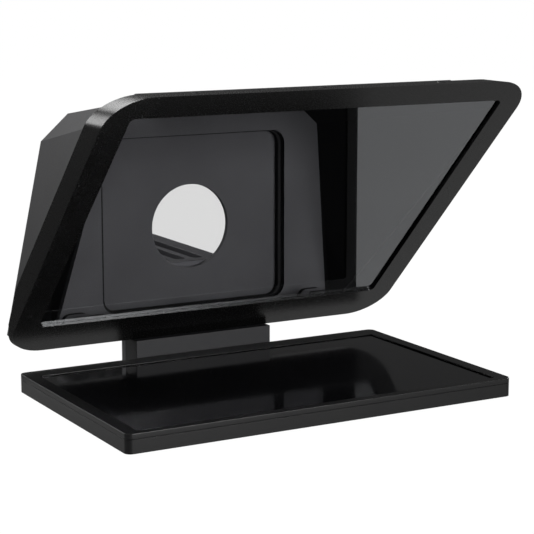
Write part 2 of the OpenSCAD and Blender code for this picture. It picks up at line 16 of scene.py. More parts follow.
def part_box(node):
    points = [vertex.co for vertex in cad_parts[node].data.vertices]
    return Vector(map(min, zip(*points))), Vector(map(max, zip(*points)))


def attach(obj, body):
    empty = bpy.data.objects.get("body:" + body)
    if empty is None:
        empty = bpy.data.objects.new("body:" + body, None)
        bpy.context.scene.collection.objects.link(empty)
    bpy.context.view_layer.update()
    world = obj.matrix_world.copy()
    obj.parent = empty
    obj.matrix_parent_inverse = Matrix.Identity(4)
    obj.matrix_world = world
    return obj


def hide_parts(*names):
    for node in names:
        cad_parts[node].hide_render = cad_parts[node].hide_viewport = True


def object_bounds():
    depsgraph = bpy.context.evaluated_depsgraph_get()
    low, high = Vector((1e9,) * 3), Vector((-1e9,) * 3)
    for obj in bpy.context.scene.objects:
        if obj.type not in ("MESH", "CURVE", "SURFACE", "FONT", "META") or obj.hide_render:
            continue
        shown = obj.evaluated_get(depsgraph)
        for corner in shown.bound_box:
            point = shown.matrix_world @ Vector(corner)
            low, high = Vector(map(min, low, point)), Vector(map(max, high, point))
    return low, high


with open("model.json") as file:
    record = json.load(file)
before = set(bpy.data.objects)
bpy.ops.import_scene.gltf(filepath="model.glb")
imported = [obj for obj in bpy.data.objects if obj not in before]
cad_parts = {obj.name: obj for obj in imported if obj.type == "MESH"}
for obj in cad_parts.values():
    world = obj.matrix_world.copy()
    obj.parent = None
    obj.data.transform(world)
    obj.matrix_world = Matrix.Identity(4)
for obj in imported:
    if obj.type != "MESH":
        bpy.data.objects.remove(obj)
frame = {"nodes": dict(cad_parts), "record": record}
cad_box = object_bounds()
scene = bpy.context.scene
BODY_OF = {node: body for body, nodes in frame["record"]["behaviour"]["bodies"].items() for node in nodes}

# %% [markdown]
# The model is in metres, but a maker thinks of edges and textures in millimetres. Two helpers follow.
# One turns a paint-shop hex colour to the linear numbers that shaders use. The other adds a shader
# node, so that a material reads as a short list of what feeds what.

# %% Units, colours and a node helper
MM = 0.001


def linear(hex_colour):
    """An sRGB colour such as '1b1b1c' as linear red, green, blue and 1."""
    parts = [int(hex_colour[i:i + 2], 16) / 255 for i in (0, 2, 4)]
    return tuple(c / 12.92 if c <= 0.04045 else ((c + 0.055) / 1.055) ** 2.4 for c in parts) + (1,)


def add(tree, kind, settings=None, links=None):
    """Adds a node of one kind, sets its inputs or properties, and links sockets into it."""
    node = tree.nodes.new(kind)
    for key, value in (settings or {}).items():
        if isinstance(key, int) or key in node.inputs:
            node.inputs[key].default_value = value
        else:
            setattr(node, key, value)
    for key, source in (links or {}).items():
        tree.links.new(source, node.inputs[key])
    return node


def per_metre(size_mm):
    """The Scale of a texture node whose features are about this many millimetres across."""
    return 1000 / size_mm


def blank(name):
    """A new material with an empty tree, its object coordinates and its output."""
    material = bpy.data.materials.new(name)
    material.use_nodes = True
    tree = material.node_tree
    tree.nodes.clear()
    return material, tree, add(tree, "ShaderNodeTexCoord").outputs["Object"]


# %% [markdown]
# Most of the object is injection-moulded ABS with a spark-eroded texture: the mould's steel is eaten
# into tiny pits, which print as a fine matt grain. The grain could be real geometry, but a bump is
# right for relief of a few hundredths of a millimetre. Large, faint clouds in colour and roughness
# stand for the flow of the melt and for handling, so that a big flat face isn't dead.

# %% Moulded plastics
def moulded(name, dark, light, rough, grain_mm, relief_mm, cloud_mm=38, specular=0.5):
    """Moulded plastic: a cloudy tint between two close colours, and a fine pitted grain."""
    material, tree, place = blank(name)
    cloud = add(tree, "ShaderNodeTexNoise", {"Scale": per_metre(cloud_mm), "Detail": 3}, {"Vector": place})
    grain = add(tree, "ShaderNodeTexNoise", {"Scale": per_metre(grain_mm), "Detail": 4}, {"Vector": place})
    tint = add(tree, "ShaderNodeValToRGB", {}, {"Fac": cloud.outputs["Fac"]})
    tint.color_ramp.elements[0].position = 0.3
    tint.color_ramp.elements[0].color = linear(dark)
    tint.color_ramp.elements[1].position = 0.7
    tint.color_ramp.elements[1].color = linear(light)
    gloss = add(tree, "ShaderNodeMapRange",
                {"From Min": 0.3, "From Max": 0.7, "To Min": rough - 0.04, "To Max": rough + 0.05},
                {"Value": grain.outputs["Fac"]})
    relief = add(tree, "ShaderNodeBump", {"Strength": 1.0, "Distance": relief_mm * MM},
                 {"Height": grain.outputs["Fac"]})
    skin = add(tree, "ShaderNodeBsdfPrincipled", {"IOR": 1.53, "Specular IOR Level": specular},
               {"Base Color": tint.outputs["Color"], "Roughness": gloss.outputs["Result"],
                "Normal": relief.outputs["Normal"]})
    add(tree, "ShaderNodeOutputMaterial", {}, {"Surface": skin.outputs["BSDF"]})
    return material


# Tray: spark-eroded ABS with a soft sheen along its edges. The grain is drawn at 0.5 mm so that it shows.
tray_abs = moulded("ABS spark-eroded tray", "070708", "0a0a0a", 0.32, 0.5, 0.005, specular=0.25)
# Frame: the same plastic from a smoother tool, so its rim draws a thin bright line.
frame_abs = moulded("ABS satin frame", "050505", "070707", 0.25, 0.6, 0.003, specular=0.35)
# Hood: a coarser, greyer texture that hides marks on the big side walls.
hood_abs = moulded("ABS coarse-textured hood", "1c1c1e", "222225", 0.5, 0.7, 0.02, specular=0.4)
# Neck: an even, slightly lighter satin moulding.
neck_abs = moulded("ABS satin neck", "18181a", "1c1c1e", 0.5, 0.5, 0.01, specular=0.15)
# Painted shade: near black on the hood's inner side walls, standing in for the shade the lamps leave there.
painted_shade_black = moulded("near black with painted shade, hood inner sides", "070708", "0b0b0c", 0.85, 0.35, 0.05, specular=0.1)
# Painted light: a lighter dead matt grey on the back wall inside the hood and on the lens plate, standing in
# for the front lamp's light on the faces turned to the reader.
painted_light_grey = moulded("ABS grey with painted front light", "48484b", "505053", 0.75, 0.6, 0.015, specular=0.15)
# Knobs: glass-filled nylon, a little waxy, so ribs catch broad soft highlights.
knob_nylon = moulded("nylon moulded knob", "1a1a1c", "202023", 0.38, 0.5, 0.015)
# Display module: matt metal-backed panel, seen only if the tray is opened.
panel_grey = moulded("LCD module coated back", "18181b", "202024", 0.5, 1.2, 0.01)
print("moulded plastics:", tray_abs.name, frame_abs.name, hood_abs.name, painted_light_grey.name)

# %% [markdown]
# The shelf, its leg, the guide and the rails are aluminium sheet and bar, bead blasted and then
# anodised black. Blasting leaves a fine, even, sparkling grain, and the dye sits in the oxide layer,
# so the surface is dark but still a metal. The screws are black-oxide or nickel-plated steel, and the
# tripod bush is turned brass, with fine rings left by the tool.

# %% Metals
def blasted(name, dark, light, rough, bead_mm, relief_mm, metallic):
    """Bead-blasted metal: round dents in a dyed or plated surface."""
    material, tree, place = blank(name)
    dents = add(tree, "ShaderNodeTexVoronoi", {"Scale": per_metre(bead_mm)}, {"Vector": place})
    stain = add(tree, "ShaderNodeTexNoise", {"Scale": per_metre(25), "Detail": 2}, {"Vector": place})
    tint = add(tree, "ShaderNodeValToRGB", {}, {"Fac": stain.outputs["Fac"]})
    tint.color_ramp.elements[0].position = 0.3
    tint.color_ramp.elements[0].color = linear(dark)
    tint.color_ramp.elements[1].position = 0.7
    tint.color_ramp.elements[1].color = linear(light)
    gloss = add(tree, "ShaderNodeMapRange", {"To Min": rough - 0.06, "To Max": rough + 0.06},
                {"Value": dents.outputs["Distance"]})
    relief = add(tree, "ShaderNodeBump", {"Strength": 1.0, "Distance": relief_mm * MM},
                 {"Height": dents.outputs["Distance"]})
    skin = add(tree, "ShaderNodeBsdfPrincipled", {"Metallic": metallic},
               {"Base Color": tint.outputs["Color"], "Roughness": gloss.outputs["Result"],
                "Normal": relief.outputs["Normal"]})
    add(tree, "ShaderNodeOutputMaterial", {}, {"Surface": skin.outputs["BSDF"]})
    return material


def turned(name, dark, light, rough, ring_mm):
    """Turned metal: fine rings that a lathe tool leaves, as light and dark bands and a faint relief."""
    material, tree, place = blank(name)
    rings = add(tree, "ShaderNodeTexWave",
                {"wave_type": "BANDS", "bands_direction": "Z", "Scale": per_metre(ring_mm) / 20,
                 "Distortion": 0.6, "Detail": 2}, {"Vector": place})
    tint = add(tree, "ShaderNodeValToRGB", {}, {"Fac": rings.outputs["Fac"]})
    tint.color_ramp.elements[0].color = linear(dark)
    tint.color_ramp.elements[1].color = linear(light)
    gloss = add(tree, "ShaderNodeMapRange", {"To Min": rough - 0.05, "To Max": rough + 0.05},
                {"Value": rings.outputs["Fac"]})
    relief = add(tree, "ShaderNodeBump", {"Strength": 0.6, "Distance": 0.01 * MM},
                 {"Height": rings.outputs["Fac"]})
    skin = add(tree, "ShaderNodeBsdfPrincipled", {"Metallic": 1.0},
               {"Base Color": tint.outputs["Color"], "Roughness": gloss.outputs["Result"],
                "Normal": relief.outputs["Normal"]})
    add(tree, "ShaderNodeOutputMaterial", {}, {"Surface": skin.outputs["BSDF"]})
    return material


# Anodised aluminium: the dye makes it near black, and the blasting spreads the highlight.
black_anodised = blasted("aluminium bead-blasted black anodised", "3a3a3e", "444448", 0.45, 0.6, 0.02, 0.6)
# Black oxide on steel: a thin dark film with a slight oily sheen.
black_oxide = blasted("steel black oxide", "2a2a2c", "38383b", 0.36, 0.5, 0.01, 0.9)
# Nickel plate on steel: bright and slightly warm, fogged by handling.
nickel = turned("steel nickel plated", "9b9a96", "b9b8b3", 0.26, 0.5)
# Brass: turned and left bare, a little brown in the rings.
brass = turned("brass turned", "a8843f", "c7a561", 0.3, 0.4)
print("metals:", black_anodised.name, black_oxide.name, nickel.name, brass.name)

# %% [markdown]
# The screen is a sheet of cover glass, painted black on its back round the panel and dark all over
# when the display is off. What the eye gets is almost only its reflection. A very faint clouding of
# the roughness stands for an oil-repelling coat that has been wiped.

# %% Cover glass over the dark panel
def cover_glass():
    material, tree, place = blank("glass polished cover over dark panel")
    wipe = add(tree, "ShaderNodeTexNoise", {"Scale": per_metre(45), "Detail": 4, "Distortion": 0.8},
               {"Vector": place})
    tint = add(tree, "ShaderNodeValToRGB", {}, {"Fac": wipe.outputs["Fac"]})
    tint.color_ramp.elements[0].color = linear("070708")
    tint.color_ramp.elements[1].color = linear("0b0b0d")
    gloss = add(tree, "ShaderNodeMapRange",
                {"From Min": 0.35, "From Max": 0.65, "To Min": 0.07, "To Max": 0.1},
                {"Value": wipe.outputs["Fac"]})
    skin = add(tree, "ShaderNodeBsdfPrincipled", {"IOR": 1.45},
               {"Base Color": tint.outputs["Color"], "Roughness": gloss.outputs["Result"]})
    add(tree, "ShaderNodeOutputMaterial", {}, {"Surface": skin.outputs["BSDF"]})
    return material


screen_black = cover_glass()
print("screen:", screen_black.name)

# %% [markdown]
# The beam splitter is 1.8 mm float glass with a thin part-mirror on the reader's side and an
# anti-reflection coat on the back. About seven tenths of the light goes through and about a tenth
# comes back as the image. A see-through mirror of that kind is a metallic skin with a low alpha: the
# alpha is what the coat stops, and the metal's colour says how much of that it returns. The coat is
# vapour-deposited, so its strength wanders by a few hundredths over the sheet.

# %% Beam-splitter coatings
def thin_coat(name, dark, light, alpha, rough):
    material, tree, place = blank(name)
    drift = add(tree, "ShaderNodeTexNoise", {"Scale": per_metre(90), "Detail": 1}, {"Vector": place})
    tint = add(tree, "ShaderNodeValToRGB", {}, {"Fac": drift.outputs["Fac"]})
    tint.color_ramp.elements[0].color = linear(dark)
    tint.color_ramp.elements[1].color = linear(light)
    skin = add(tree, "ShaderNodeBsdfPrincipled", {"Metallic": 1.0, "Roughness": rough, "Alpha": alpha},
               {"Base Color": tint.outputs["Color"]})
    add(tree, "ShaderNodeOutputMaterial", {}, {"Surface": skin.outputs["BSDF"]})
    return material


part_mirror = thin_coat("glass part-mirror coat", "dfe1e4", "e6e8eb", 0.3, 0.0)
clear_coat = thin_coat("glass anti-reflection coat", "7f8488", "888d91", 0.03, 0.02)
print("beam splitter:", part_mirror.name, clear_coat.name)

# %% [markdown]
# Two finishes are left: the foam gasket round the lens opening, closed-cell rubber with visible
# bubbles cut open at the surface, and the green circuit board, with a woven glass cloth under its
# solder mask.

# %% Foam rubber and circuit board
def foam():
    material, tree, place = blank("rubber closed-cell foam")
    cells = add(tree, "ShaderNodeTexVoronoi", {"Scale": per_metre(0.7)}, {"Vector": place})
    tint = add(tree, "ShaderNodeValToRGB", {}, {"Fac": cells.outputs["Distance"]})
    tint.color_ramp.elements[0].color = linear("0e0e0f")
    tint.color_ramp.elements[1].color = linear("1a1a1b")
    pits = add(tree, "ShaderNodeBump", {"Strength": 1.0, "Distance": 0.12 * MM},
               {"Height": cells.outputs["Distance"]})
    skin = add(tree, "ShaderNodeBsdfPrincipled", {"Roughness": 0.9, "Specular IOR Level": 0.25},
               {"Base Color": tint.outputs["Color"], "Normal": pits.outputs["Normal"]})
    add(tree, "ShaderNodeOutputMaterial", {}, {"Surface": skin.outputs["BSDF"]})
    return material


def solder_mask():
    material, tree, place = blank("glass-epoxy board solder mask")
    weave = add(tree, "ShaderNodeTexBrick", {"Scale": per_metre(1.2)}, {"Vector": place})
    weave.inputs["Color1"].default_value = linear("0d3a24")
    weave.inputs["Color2"].default_value = linear("104229")
    weave.inputs["Mortar"].default_value = linear("0a2f1d")
    skin = add(tree, "ShaderNodeBsdfPrincipled", {"Roughness": 0.35}, {"Base Color": weave.outputs["Color"]})
    add(tree, "ShaderNodeOutputMaterial", {}, {"Surface": skin.outputs["BSDF"]})
    return material


gasket_foam = foam()
board_green = solder_mask()
print("others:", gasket_foam.name, board_green.name)

# %% [markdown]
# A moulded or machined part never has knife edges: light runs along a radius of a few tenths of a
# millimetre, and that thin line is what makes a black object readable. So each hard part is copied,
# its loose triangles are welded and dissolved to flat faces, and its long sharp edges are rounded
# with the bevel operator. Rims of small screw holes stay crisp, as drilled holes do. A Weighted
# Normal modifier then keeps the flats flat beside the rounded edges.

# %% Making a finished copy of a part
def sharp_groups(bm, degrees):
    """The sharp edges of a mesh, in groups that touch each other."""
    sharp = [e for e in bm.edges if len(e.link_faces) == 2 and e.calc_face_angle(0) > radians(degrees)]
    waiting = set(sharp)
    groups = []
    while waiting:
        group, front = [], [waiting.pop()]
        while front:
            edge = front.pop()
            group.append(edge)
            near = {e for v in edge.verts for e in v.link_edges if e in waiting}
            waiting -= near
            front.extend(sorted(near, key=lambda e: e.index))
        groups.append(group)
    return groups


def extent(group):
    """The longest side of the box round a group of edges."""
    places = [v.co for e in group for v in e.verts]
    return max(max(p[i] for p in places) - min(p[i] for p in places) for i in range(3))


def welded(node):
    """A bmesh copy of a CAD node, with its triangles joined to flat faces."""
    bm = bmesh.new()
    bm.from_mesh(frame["nodes"][node].data)
    bmesh.ops.remove_doubles(bm, verts=bm.verts[:], dist=0.002 * MM)
    bmesh.ops.dissolve_limit(bm, angle_limit=radians(0.3), verts=bm.verts[:], edges=bm.edges[:])
    bm.edges.index_update()
    return bm


def rounded(bm, radius_mm, least_mm=7, degrees=28, steps=3):
    """Rounds the sharp edges of every group at least so long, and says how many there were."""
    long_groups = [g for g in sharp_groups(bm, degrees) if extent(g) >= least_mm * MM]
    edges = [e for g in long_groups for e in g]
    if edges:
        bmesh.ops.bevel(bm, geom=edges, offset=radius_mm * MM, offset_type="OFFSET", segments=steps,
                        profile=0.5, affect="EDGES", clamp_overlap=True, material=-1)
    return len(edges)


SMOOTH_UP_TO_DEG = 32


def show(bm, name, body, slot, materials, *nodes):
    """Turns a bmesh into a piece that rides on a body and stands for CAD nodes."""
    mesh = bpy.data.meshes.new(name)
    bm.to_mesh(mesh)
    bm.free()
    for material in materials:
        mesh.materials.append(material)
    mesh.shade_smooth()
    mesh.set_sharp_from_angle(angle=radians(SMOOTH_UP_TO_DEG))
    piece = bpy.data.objects.new(name, mesh)
    scene.collection.objects.link(piece)
    flats = piece.modifiers.new("flats stay flat", "WEIGHTED_NORMAL")
    flats.keep_sharp = True
    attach(piece, body)
    if nodes:
        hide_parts(*nodes)
    return piece


def finish_part(node, name, slot, material, radius_mm, least_mm=7):
    """A copy of one CAD node with rounded edges and its finish."""
    bm = welded(node)
    count = rounded(bm, radius_mm, least_mm)
    piece = show(bm, name, BODY_OF[node], slot, [material], node)
    print(f"{name}: {count} edges rounded, {len(piece.data.polygons)} faces")


# %% [markdown]
# The tray is two shells that meet at a seam: a deep lower housing and a bezel ring. Both edges at the
# seam are rounded a little, which leaves the fine dark groove with a bright lip that such a case has.

# %% Display tray
finish_part("display_housing", "tray_housing", "moulded_black", tray_abs, 0.45)
finish_part("display_bezel", "tray_bezel", "moulded_black", tray_abs, 0.45)
finish_part("screen_glass", "tray_screen", "screen_black", screen_black, 0.2)

# %% [markdown]
# The frame that holds the glass is one moulding with a level skirt behind it. Its front rim has the
# largest radius on the object. The neck, the guide plate and the roof bar follow in the same way.

# %% Frame, neck and roof bar
finish_part("glass_frame", "beam_frame", "frame_black", frame_abs, 0.8, least_mm=30)
finish_part("neck_block", "neck", "moulded_black", neck_abs, 0.5)
finish_part("rear_guide", "shelf_guide", "black_anodised", black_anodised, 0.4)
finish_part("roof_bar", "roof_crossbar", "frame_black", frame_abs, 0.3)
finish_part("roof_lip", "roof_crossbar_lip", "hood_black", hood_abs, 0.3)

# %% [markdown]
# The hood is a faceted shell, moulded with soft creases between its facets, and the baffle is a
# thinner shell inside it. Their creases are shallow, so the angle that counts as sharp is smaller.

# %% Hood and baffle
CREASE_DEG = 14
PAINTED_LIGHT_IF_FACING = 0.995
shell = welded("hood_shell")
creases = rounded(shell, 1.0, least_mm=12, degrees=CREASE_DEG)
show(shell, "hood", BODY_OF["hood_shell"], "hood_black", [hood_abs], "hood_shell")
shell = welded("light_baffle")
creases += rounded(shell, 0.6, least_mm=12, degrees=CREASE_DEG)
# The baffle's faces turned to the reader get the lighter grey, which is painted light; its side walls get
# the near black, which is painted shade.
for face in shell.faces:
    face.normal_update()
    face.material_index = 0 if abs(face.normal.y) > PAINTED_LIGHT_IF_FACING else 1
show(shell, "baffle", BODY_OF["light_baffle"], "baffle_black", [painted_light_grey, painted_shade_black], "light_baffle")
print(f"hood and baffle: {creases} creases rounded")

# %% [markdown]
# The lens side: a foam gasket seals the opening, two rails hold the lens plate, and the plate lifts
# out by its tab. The camera shelf is a bent strip with three long slots.

# %% Lens plate, rails and shelf
finish_part("lens_gasket", "opening_gasket", "foam_rubber", gasket_foam, 0.2)
finish_part("plate_rail_left", "rail_left", "black_anodised", black_anodised, 0.3)
finish_part("plate_rail_right", "rail_right", "black_anodised", black_anodised, 0.3)
finish_part("lens_plate", "lens_board", "baffle_black", painted_light_grey, 0.35)
finish_part("camera_shelf", "shelf_bracket", "black_anodised", black_anodised, 0.5)
finish_part("glass_clips", "glass_clips_steel", "black_steel", black_oxide, 0.15, least_mm=3)
finish_part("clamp_washers", "clamp_washers_steel", "black_steel", black_oxide, 0.12)
finish_part("camera_washer", "camera_washer_steel", "bright_steel", nickel, 0.12)

# %% [markdown]
# The glass needs two coats, so its copy is split by which way each face looks. The reader's side
# looks down and forward. Its edges are arrissed, that is, ground to a small flat.

# %% Beam splitter
READER_SIDE = Vector((0, -1, -1)).normalized()
glass = welded("beam_splitter")
rounded(glass, 0.2, steps=1)
for face in glass.faces:
    face.normal_update()
    face.material_index = 0 if face.normal.dot(READER_SIDE) > 0.99 else 1
show(glass, "beam_glass_sheet", "base", "beam_glass", [part_mirror, clear_coat], "beam_splitter")
print("beam splitter: part-mirror on the reader's side")

# %% [markdown]
# Screws come next. Each CAD node of screws holds several plain solids, so their places are read from
# its separate islands. A screw is made once, head up, with a socket pressed into its head: the head's
# top is inset, the new ring of vertices is pulled to a hexagon or a cross, and the face is sunk.

# %% Where the screws are
def islands(node):
    """The boxes of a node's separate solids, as pairs of corners."""
    bm = welded(node)
    left = set(bm.verts)
    boxes = []
    while left:
        front, found = [left.pop()], []
        while front:
            v = front.pop()
            found.append(v.co.copy())
            near = {e.other_vert(v) for e in v.link_edges} & left
            left -= near
            front.extend(near)
        low = Vector([min(p[i] for p in found) for i in range(3)])
        high = Vector([max(p[i] for p in found) for i in range(3)])
        boxes.append((low, high))
    bm.free()
    return sorted(boxes, key=lambda b: tuple(round(c, 5) for c in b[0]))


def highest(bm):
    return max(bm.faces, key=lambda f: (round(f.calc_center_median().z, 7), f.calc_area()))


# %% One screw, head up
RIM = 48


def hexagon(angle):
    """How far a unit hexagon's edge lies in a direction, from 0.87 to 1."""
    return cos(pi / 6) / cos((angle + pi / 6) % (pi / 3) - pi / 6)


def cross(angle):
    """The outline of a cross recess: four arms and a narrow middle."""
    return 1.0 if abs((angle + pi / 4) % (pi / 2) - pi / 4) < 0.24 else 0.42


def screw(head_r, head_h, shank_r, shank_l, drive):
    """A bmesh of one screw with its head's underside at the origin. Sizes are in metres."""
    bm = bmesh.new()
    bmesh.ops.create_cone(bm, cap_ends=True, segments=RIM, radius1=head_r, radius2=head_r, depth=head_h,
                          matrix=Matrix.Translation((0, 0, head_h / 2)))
    rim = list(highest(bm).edges)
    bmesh.ops.bevel(bm, geom=rim, offset=head_h * 0.22, offset_type="OFFSET", segments=2, profile=0.5,
                    affect="EDGES", clamp_overlap=True, material=-1)
    top = highest(bm)
    bmesh.ops.inset_region(bm, faces=[top], thickness=head_r * 0.3, use_even_offset=True)
    top = min((f for f in bm.faces if abs(f.calc_center_median().z - head_h) < 1e-7),
              key=lambda f: max(v.co.xy.length for v in f.verts))
    size = max(v.co.xy.length for v in top.verts)
    for v in top.verts:
        angle = Vector((1, 0)).angle_signed(v.co.xy) % (2 * pi)
        v.co.xy = v.co.xy.normalized() * size * drive(angle)
    bmesh.ops.inset_region(bm, faces=[top], thickness=head_r * 0.02, depth=-head_h * 0.6)
    bmesh.ops.create_cone(bm, cap_ends=True, segments=24, radius1=shank_r, radius2=shank_r, depth=shank_l,
                          matrix=Matrix.Translation((0, 0, -shank_l / 2)))
    return bm


def set_screws(node, name, slot, material, axis, head_h_mm, shank_share, drive):
    """Stands one screw in each island of a node, head towards axis."""
    body = bmesh.new()
    turn = Vector((0, 0, 1)).rotation_difference(Vector(axis)).to_matrix().to_4x4()
    along = Vector(axis)
    boxes = islands(node)
    for low, high in boxes:
        size, middle = high - low, (low + high) / 2
        length = abs(size.dot(along))
        across = [abs(size[i]) for i in range(3) if abs(along[i]) < 0.5]
        head_r, head_h = min(across) / 2, head_h_mm * MM
        seat = middle + along * (length / 2 - head_h)
        one = screw(head_r, head_h, head_r * shank_share, length - head_h, drive)
        bmesh.ops.transform(one, matrix=Matrix.Translation(seat) @ turn, verts=one.verts[:])
        spare = bpy.data.meshes.new("spare")
        one.to_mesh(spare)
        one.free()
        body.from_mesh(spare)
        bpy.data.meshes.remove(spare)
    show(body, name, BODY_OF[node], slot, [material], node)
    print(f"{name}: {len(boxes)} screws")


# %% Screws in place
set_screws("housing_screws", "tray_screws", "black_steel", black_oxide, (0, 0, -1), 1.3, 0.56, cross)
set_screws("guide_screws", "guide_plate_screws", "black_steel", black_oxide, (0, 1, 0), 2.1, 0.57, hexagon)
set_screws("frame_screws", "skirt_screws", "black_steel", black_oxide, (0, 0, 1), 1.1, 0.53, hexagon)
set_screws("rail_screws", "rail_fixing_screws", "black_steel", black_oxide, (0, 1, 0), 0.9, 0.69, cross)
finish_part("clip_screws", "clip_fixing_screws", "black_steel", black_oxide, 0.1, least_mm=3)
finish_part("neck_screws", "neck_fixing_screws", "black_steel", black_oxide, 0.3)

# %% [markdown]
# A knob is a disc with grip ribs. A circle is raised to a drum, every fourth column of vertices is
# pulled in to cut the grooves, and the rims are bevelled. The end is dished by an inset that sinks.
# Each knob carries its screw, with a real helical thread: a small triangle is spun round the axis
# while it climbs by one pitch a turn, and the ends are cut flush.

# %% Ribbed knob and helical thread
def ribbed_drum(radius, height, ribs, groove, dish, dish_at_top=True):
    """A bmesh drum on the XY plane with grooves round it and a dished end."""
    bm = bmesh.new()
    bmesh.ops.create_circle(bm, cap_ends=True, segments=ribs * 4, radius=radius)
    lifted = bmesh.ops.extrude_face_region(bm, geom=bm.faces[:])
    raised = [g for g in lifted["geom"] if isinstance(g, bmesh.types.BMVert)]
    bmesh.ops.translate(bm, vec=(0, 0, height), verts=raised)
    bmesh.ops.recalc_face_normals(bm, faces=bm.faces[:])
    for v in bm.verts:
        step = round((Vector((1, 0)).angle_signed(v.co.xy) % (2 * pi)) / (2 * pi) * ribs * 4) % 4
        if step == 0:
            v.co.xy = v.co.xy.normalized() * (radius - groove)
        elif step != 2:
            v.co.xy = v.co.xy.normalized() * (radius - groove * 0.25)
    ends = [f for f in bm.faces if abs(f.normal.z) > 0.9]
    rims = [e for f in ends for e in f.edges]
    bmesh.ops.bevel(bm, geom=rims, offset=0.5 * MM, offset_type="OFFSET", segments=2, profile=0.5,
                    affect="EDGES", clamp_overlap=True, material=-1)
    level = (lambda f: f.calc_center_median().z) if dish_at_top else (lambda f: -f.calc_center_median().z)
    end = max((f for f in bm.faces if abs(f.normal.z) > 0.99), key=level)
    bmesh.ops.inset_region(bm, faces=[end], thickness=radius * 0.28)
    bmesh.ops.inset_region(bm, faces=[end], thickness=0.6 * MM, depth=-dish)
    return bm


def thread(bm, outer, depth, pitch, low, high, inward=False):
    """Adds a helical ridge between two heights. An inward thread points to the axis."""
    turns = (high - low) / pitch + 1.5
    steps = 24
    ridge = bmesh.new()
    base = outer - depth if not inward else outer + 0.05 * MM
    tip = outer if not inward else outer - depth
    start = low - pitch
    corners = [ridge.verts.new((base, 0, start)), ridge.verts.new((tip, 0, start + pitch * 0.42)),
               ridge.verts.new((tip, 0, start + pitch * 0.5)),
               ridge.verts.new((base, 0, start + pitch * 0.92))]
    ridge.faces.new(corners)
    bmesh.ops.spin(ridge, geom=ridge.verts[:] + ridge.edges[:] + ridge.faces[:], cent=(0, 0, 0),
                   axis=(0, 0, 1), dvec=(0, 0, pitch / steps), angle=2 * pi * turns,
                   steps=round(steps * turns))
    for height, up in ((low, -1), (high, 1)):
        cut = bmesh.ops.bisect_plane(ridge, geom=ridge.verts[:] + ridge.edges[:] + ridge.faces[:], dist=1e-7,
                                     plane_co=(0, 0, height), plane_no=(0, 0, up), clear_outer=True)
        edges = [g for g in cut["geom_cut"] if isinstance(g, bmesh.types.BMEdge)]
        bmesh.ops.holes_fill(ridge, edges=edges)
    bmesh.ops.remove_doubles(ridge, verts=ridge.verts[:], dist=1e-6)
    bmesh.ops.recalc_face_normals(ridge, faces=ridge.faces[:])
    spare = bpy.data.meshes.new("spare")
    ridge.to_mesh(spare)
    ridge.free()
    bm.from_mesh(spare)
    bpy.data.meshes.remove(spare)


def rod(bm, radius, low, high):
    """Adds a round rod between two heights, with a small chamfer at its top."""
    made = bmesh.ops.create_cone(bm, cap_ends=True, segments=RIM, radius1=radius, radius2=radius,
                                 depth=high - low, matrix=Matrix.Translation((0, 0, (low + high) / 2)))
    rim = [e for e in bm.edges if all(v in made["verts"] and v.co.z > high - 1e-6 for v in e.verts)]
    bmesh.ops.bevel(bm, geom=rim, offset=radius * 0.16, offset_type="OFFSET", segments=1, profile=0.5,
                    affect="EDGES", clamp_overlap=True, material=-1)


# %% Clamp knobs
KNOB_LENGTH = 9.5 * MM
CLAMP_R = 2.5 * MM
CLAMP_PITCH = 0.8 * MM
GRIP_RIBS = 18
for side in ("left", "right"):
    low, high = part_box("clamp_screw_" + side)
    radius = (high.z - low.z) / 2
    knob = ribbed_drum(radius, KNOB_LENGTH, GRIP_RIBS, 0.45 * MM, 1.4 * MM)
    shank = high.y - low.y - KNOB_LENGTH
    rod(knob, CLAMP_R * 0.82, -shank, 0.5 * MM)
    thread(knob, CLAMP_R, CLAMP_R * 0.22, CLAMP_PITCH, -shank, 0)
    middle = (low + high) / 2
    place = Matrix.Translation((middle.x, high.y - KNOB_LENGTH, middle.z)) @ Matrix.Rotation(-pi / 2, 4, "X")
    bmesh.ops.transform(knob, matrix=place, verts=knob.verts[:])
    show(knob, "clamp_knob_" + side, side + "_clamp", "knob_black", [knob_nylon], "clamp_screw_" + side)
print("clamp knobs:", GRIP_RIBS, "ribs each,", round(CLAMP_PITCH / MM, 2), "mm thread")

# %% [markdown]
# The camera screw is nickel-plated steel with a quarter-inch thread of 20 turns to the inch, which is
# 1.27 mm a turn. It is turned by its knurled head or by a coin in the slot under it.

# %% Camera screw
PITCH = 25.4 / 20 * MM
STUD_R = 3.175 * MM
STUD_UP = 5.5 * MM
SHANK_R = 2.7 * MM
KNOB_H = 7 * MM
low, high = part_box("camera_screw")
centre = (low + high) / 2
stud = ribbed_drum((high.x - low.x) / 2, KNOB_H, 24, 0.4 * MM, 1.2 * MM, dish_at_top=False)
tall = high.z - low.z
rod(stud, SHANK_R, KNOB_H - 0.5 * MM, tall - STUD_UP + 0.2 * MM)
rod(stud, STUD_R * 0.8, tall - STUD_UP, tall)
thread(stud, STUD_R, STUD_R * 0.2, PITCH, tall - STUD_UP, tall - 0.3 * MM)
bmesh.ops.translate(stud, vec=(centre.x, centre.y, low.z), verts=stud.verts[:])
show(stud, "camera_thumbscrew", "camera_screw", "bright_steel", [nickel], "camera_screw")
print("camera screw:", round(PITCH / MM, 2), "mm pitch")

